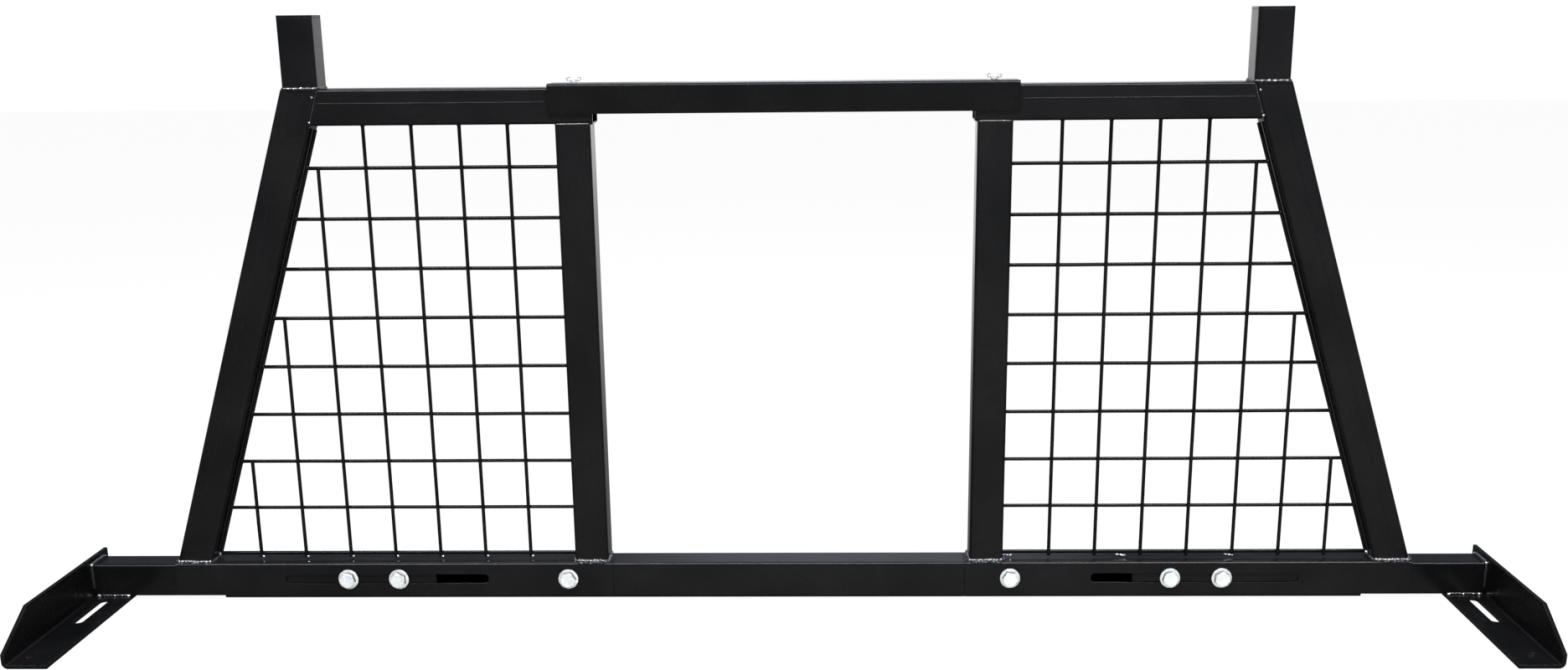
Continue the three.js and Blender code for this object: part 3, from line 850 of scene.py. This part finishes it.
def fastener(side, label, body):
    """One bolt with its washer and flange nut."""
    turn = math.radians(BOLT_TURNS[f"{side}_{label}"])
    low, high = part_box(f"{side}_{label}_bolt")
    centre_x, centre_z = (low.x + high.x) / 2, (low.z + high.z) / 2
    seat_y = low.y + HEAD_HEIGHT
    head = Builder()
    hex_prism(head, 0.0, HEAD_HEIGHT, HEX_FLATS / 2 - 0.0005, dish=HEAD_DISH)
    lay_along_y(head, centre_x, seat_y, centre_z, -1, turn)
    name = f"{side}_{label}_bolt_head"
    piece = finish_piece(name, head.mesh(name), zinc, body, 28)
    # The head's flat sides take the darker zinc: painted shade.
    piece.data.materials.append(zinc_painted_dark_sides)
    for polygon in piece.data.polygons:
        if abs(polygon.normal.y) < 0.3:
            polygon.material_index = 1
    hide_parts(f"{side}_{label}_bolt")
    shank = Builder()
    length = high.y - seat_y
    turned(
        shank,
        [
            (BOLT_RADIUS * 0.5, 0.0002), (BOLT_RADIUS, 0.0003), (BOLT_RADIUS, PLAIN_SHANK),
            (BOLT_RADIUS * 0.88, PLAIN_SHANK + 0.001), (0.5 * BOLT_RADIUS, PLAIN_SHANK + 0.001),
        ],
        32,
    )
    thread(shank, PLAIN_SHANK + 0.0005, length, BOLT_RADIUS)
    lay_along_y(shank, centre_x, seat_y, centre_z, 1, turn)
    name = f"{side}_{label}_bolt_shank"
    finish_piece(name, shank.mesh(name), zinc_thread, body, 60)
    low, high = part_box(f"{side}_{label}_washer")
    radius, thick = (high.x - low.x) / 2, high.y - low.y
    ring = Builder()
    bore = BOLT_RADIUS + 0.0005
    turned(
        ring,
        [
            (bore, 0.0003), (bore + 0.0003, 0), (radius - 0.0006, 0), (radius - 0.00015, 0.0002),
            (radius, 0.0007), (radius, thick - 0.0009), (radius - 0.0003, thick - 0.0003),
            (radius - 0.0010, thick), (bore + 0.0003, thick), (bore, thick - 0.0003),
        ],
        closed=True,
    )
    lay_along_y(ring, centre_x, low.y, centre_z, 1, turn)
    name = f"{side}_{label}_washer_ring"
    piece = finish_piece(name, ring.mesh(name), zinc, body, 35)
    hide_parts(f"{side}_{label}_washer")
    low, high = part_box(f"{side}_{label}_nut")
    nut = Builder()
    radius, height = (high.x - low.x) / 2, high.y - low.y
    turned(
        nut,
        [
            (BOLT_RADIUS + 0.0002, 0), (radius - 0.0004, 0), (radius, 0.0003), (radius, 0.0011),
            (radius - 0.0004, 0.0015), (HEX_FLATS / 2 + 0.0006, 0.0026),
            (HEX_FLATS / 2 - 0.001, 0.0028), (BOLT_RADIUS + 0.0002, 0.0028),
        ],
        closed=True,
    )
    hex_prism(nut, 0.0020, height, HEX_FLATS / 2 - 0.0006, bore=BOLT_RADIUS + 0.0002)
    lay_along_y(nut, centre_x, low.y, centre_z, 1, turn + 0.4)
    name = f"{side}_{label}_flange_nut"
    piece = finish_piece(name, nut.mesh(name), zinc, body, 28)
    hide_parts(f"{side}_{label}_nut")


def wing_screw(side, sign):
    """A wing screw: a turned hub, a threaded shank and two rounded wings with thick rims."""
    node = f"{side}_wing_screw"
    low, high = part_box(node)
    channel_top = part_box("top_channel")[1].z
    centre = Vector(((low.x + high.x) / 2, (low.y + high.y) / 2, channel_top))
    height = high.z - channel_top
    reach, lobe_z, rim = 0.0064, 0.0056, 0.0009
    lobe = height - lobe_z
    turn = math.radians(20 if sign < 0 else -12)
    along = Vector((math.cos(turn), math.sin(turn), 0))
    aside = Vector((-math.sin(turn), math.cos(turn), 0))
    builder = Builder()
    rings = []
    for radius, z in (
        (0.0020, 0.0001), (0.0044, 0.0001), (0.0046, 0.0005), (0.0045, 0.0016), (0.0040, 0.0034),
        (0.0040, 0.0046), (0.0037, 0.0053), (0.0028, 0.0057), (0.0010, 0.0058),
    ):
        rings.append(circle(centre + Z * z, along, aside, radius, 32))
    builder.rings(rings)
    shank = Builder()
    thread(shank, -(channel_top - low.z), 0.0004, 0.0030, pitch=0.001, sides=24)
    base = len(builder.points)
    builder.points.extend(centre + p for p in shank.points)
    builder.faces.extend(tuple(base + index for index in face) for face in shank.faces)
    for way in (-1, 1):
        middle = centre + along * (way * reach) + Z * lobe_z
        rings = []
        for k in range(24):
            spin = TAU * k / 24
            outward = along * math.cos(spin) + Z * math.sin(spin)
            rings.append(circle(middle + outward * (lobe - rim), outward, aside, rim, 10))
        builder.rings(rings, closed=True)
        disc = []
        for offset, share in ((-0.0006, 0.2), (-0.0006, 0.82), (0.0006, 0.82), (0.0006, 0.2)):
            disc.append(circle(middle + aside * offset, along, Z, lobe * share, 24))
        builder.rings(disc)
        root = [
            circle(centre + along * (way * 0.0025) + Z * 0.0030, aside, Z, 0.0016, 12),
            circle(centre + along * (way * 0.0044) + Z * 0.0040, aside, Z, 0.0015, 12),
            circle(centre + along * (way * 0.0060) + Z * 0.0052, aside, Z, 0.0010, 12),
        ]
        builder.rings(root)
    mesh = builder.mesh(f"{side}_wing")
    piece = finish_piece(f"{side}_wing_screw_cast", mesh, zinc, node, 45)
    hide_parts(node)


for side, sign in SIDES.items():
    mesh_panel(side, sign)
    frame_welds(side, sign)
    arm_welds(side, sign)
    foot_marks(side, sign)
    seam_lines(side, sign)
    fastener(side, "centre", f"{side}_frame")
    fastener(side, "outer", f"{side}_arm")
    fastener(side, "inner", f"{side}_arm")
    wing_screw(side, sign)


# ---- Studio

# The studio's brightness by elevation: degrees, level, share of blue. Levels are for WORLD_STRENGTH.
WORLD_STRENGTH = 2.5
BEHIND = [
    (-90, 0.03, 0), (-24, 0.05, 0.02), (-13, 0.12, 0.02), (-6, 0.40, 0), (0, 0.95, 0),
    (7, 0.50, 0.05), (14, 0.20, 0.14), (30, 0.18, 0.16), (90, 0.35, 0.08),
]
FRONT = [
    (-90, 0.05, 0), (-35, 0.22, 0), (-18, 0.42, 0),
    (0, 0.36, 0.03), (25, 0.32, 0.06), (90, 0.45, 0.06),
]
FLOOR_HALF = 14
LIGHT_TARGET = (0, 0.1, 0.3)
BLACK = (0, 0, 0, 1)

# The camera, in metres and degrees. The shift is what the photograph's framing needs, cut back so
# that other views keep more of the rack in the picture.
CAMERA_PLACE = (0.0768, -2.16067, 0.7571)
CAMERA_PITCH, CAMERA_YAW, CAMERA_ROLL = -16.736, -1.460, -0.536
CAMERA_LENS = 40.467
CAMERA_SHIFT = (-0.01166, 0.135)


def pale_floor():
    """A floor that is near white to the camera. It lights the rack softly and isn't reflected."""
    material, nodes, shader, point = new_material("pale_floor")
    grain = nodes.noise(point, 3.0, 2.0)
    tone = nodes.mix(grain, (0.90, 0.90, 0.90, 1), (0.94, 0.94, 0.94, 1))
    camera_ray = nodes.add("ShaderNodeLightPath").outputs["Is Camera Ray"]
    base = nodes.mix(camera_ray, tone, (0.05, 0.05, 0.05, 1))
    nodes.link(base, shader.inputs["Base Color"])
    shader.inputs["Roughness"].default_value = 0.9
    shader.inputs["Specular IOR Level"].default_value = 0.0
    shader.inputs["Emission Color"].default_value = (1, 1, 1, 1)
    nodes.link(nodes.span(camera_ray, 0, 1, 0.25, 0.95), shader.inputs["Emission Strength"])
    mesh = bpy.data.meshes.new("floor")
    half = FLOOR_HALF
    square = ((-half, -half), (half, -half), (half, half), (-half, half))
    corners = [(x, y, cad_low.z) for x, y in square]
    mesh.from_pydata(corners, [], [(0, 1, 2, 3)])
    mesh.materials.append(material)
    floor = bpy.data.objects.new("floor", mesh)
    bpy.context.scene.collection.objects.link(floor)
    floor.visible_glossy = False


def studio_world():
    """White to the camera. Reflections see a bright wall behind the rack that darkens towards the
    floor, a softer front that fades to both sides, and a pale blue ceiling."""
    world = bpy.data.worlds.new("studio")
    world.use_nodes = True
    nodes = Nodes(world.node_tree)
    background = world.node_tree.nodes["Background"]
    direction = nodes.add("ShaderNodeTexCoord").outputs["Generated"]
    split = nodes.add("ShaderNodeSeparateXYZ", {0: direction})
    aside, ahead, height = split.outputs["X"], split.outputs["Y"], split.outputs["Z"]

    def ramp(stops):
        node = nodes.add("ShaderNodeValToRGB", {"Fac": nodes.span(height, -1, 1, 0, 1)})
        band = node.color_ramp
        while len(band.elements) < len(stops):
            band.elements.new(0.5)
        for element, (elevation, level, blue) in zip(band.elements, stops):
            element.position = (math.sin(math.radians(elevation)) + 1) / 2
            element.color = (level * (1 - blue), level * (1 - 0.35 * blue), level * (1 + blue), 1)
        return node.outputs["Color"]

    behind = ramp(BEHIND)
    front = ramp(FRONT)
    away = nodes.math("ABSOLUTE", aside)
    fade = nodes.span(away, 0.12, 0.55, 1.0, 0.42)
    fade = nodes.math("MULTIPLY", fade, nodes.span(aside, -0.25, 0.15, 0.52, 0.84))
    front = nodes.mix(fade, BLACK, front)
    low_fade = nodes.span(away, 0.15, 0.24, 1.0, 0.35)
    high_fade = nodes.span(away, 0.07, 0.14, 1.0, 0.25)
    fade_shift = nodes.math("SUBTRACT", high_fade, low_fade)
    rise = nodes.span(height, 0.05, 0.15, 0, 1)
    inputs = {0: fade_shift, 1: rise, 2: low_fade}
    beside = nodes.add("ShaderNodeMath", inputs, operation="MULTIPLY_ADD").outputs[0]
    behind = nodes.mix(beside, BLACK, behind)
    colour = nodes.mix(nodes.span(ahead, -0.25, 0.35, 0, 1), front, behind)
    camera_ray = nodes.add("ShaderNodeLightPath").outputs["Is Camera Ray"]
    colour = nodes.mix(camera_ray, colour, (1 / WORLD_STRENGTH,) * 3 + (1,))
    nodes.link(colour, background.inputs["Color"])
    background.inputs["Strength"].default_value = WORLD_STRENGTH
    bpy.context.scene.world = world


def soft_light(name, place, target, size, power, colour=(1, 1, 1)):
    data = bpy.data.lights.new(name, "AREA")
    data.shape = "RECTANGLE"
    data.size, data.size_y = size
    data.energy = power
    data.color = colour
    lamp = bpy.data.objects.new(name, data)
    lamp.location = place
    lamp.rotation_euler = (Vector(target) - Vector(place)).to_track_quat("-Z", "Y").to_euler()
    bpy.context.scene.collection.objects.link(lamp)


def studio_camera():
    """The photograph's viewpoint: in the bed, a little right of the middle, looking down."""
    pitch, yaw, roll = (math.radians(a) for a in (CAMERA_PITCH, CAMERA_YAW, CAMERA_ROLL))
    forward = Vector(
        (math.sin(yaw) * math.cos(pitch), math.cos(yaw) * math.cos(pitch), math.sin(pitch))
    )
    right = forward.cross(Z).normalized()
    up = right.cross(forward)
    level_right = right * math.cos(roll) + up * math.sin(roll)
    level_up = up * math.cos(roll) - right * math.sin(roll)
    data = bpy.data.cameras.new("camera")
    data.sensor_width = 36
    data.lens = CAMERA_LENS
    data.shift_x, data.shift_y = CAMERA_SHIFT
    data.clip_start, data.clip_end = 0.05, 60
    camera = bpy.data.objects.new("camera", data)
    basis = Matrix((level_right, level_up, -forward)).transposed().to_4x4()
    camera.matrix_world = Matrix.Translation(CAMERA_PLACE) @ basis
    bpy.context.scene.collection.objects.link(camera)
    bpy.context.scene.camera = camera


pale_floor()
studio_world()
# Name, place, target, size in metres, watts, colour
soft_light("key", (0.2, -1.2, 3.0), LIGHT_TARGET, (5.0, 0.28), 330)
soft_light("side", (-2.4, -1.0, 2.4), LIGHT_TARGET, (0.9, 0.9), 22)
soft_light("back", (0.0, 2.6, 3.0), LIGHT_TARGET, (3.4, 0.8), 40, (0.86, 0.92, 1.0))
studio_camera()
bpy.context.scene.view_settings.view_transform = "Standard"
